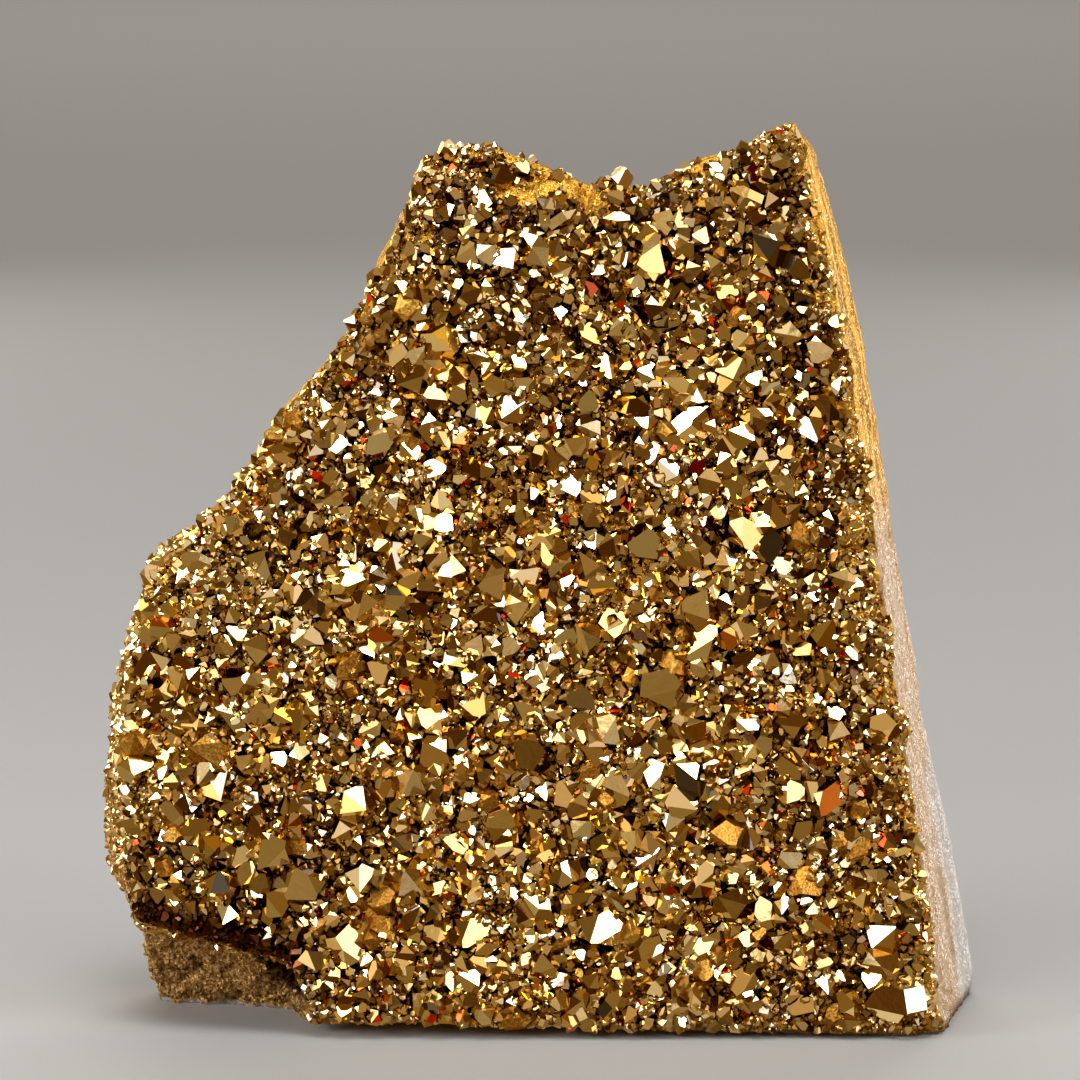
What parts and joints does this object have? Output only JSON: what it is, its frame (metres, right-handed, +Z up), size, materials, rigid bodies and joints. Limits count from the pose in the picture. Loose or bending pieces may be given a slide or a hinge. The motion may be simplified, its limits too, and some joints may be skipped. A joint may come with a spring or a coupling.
{
  "type": "aura amethyst druzy",
  "caption": "Freestanding slab of geode wall with a sawn flat base, its whole front a druzy crust of quartz points in a mirror gold coat.",
  "frame": {"origin": "middle of the bounding box, at the height of the sawn base it stands on", "axes": "+Z up, crystal face towards -Y, +X to the right seen from the front"},
  "size_m": [0.135, 0.0436, 0.136],
  "materials": {
    "aura_gold": "polished",
    "geode_rock": "matte"
  },
  "bodies": {
    "root": {"amethyst_druzy": "aura_gold"}
  },
  "joints": []
}
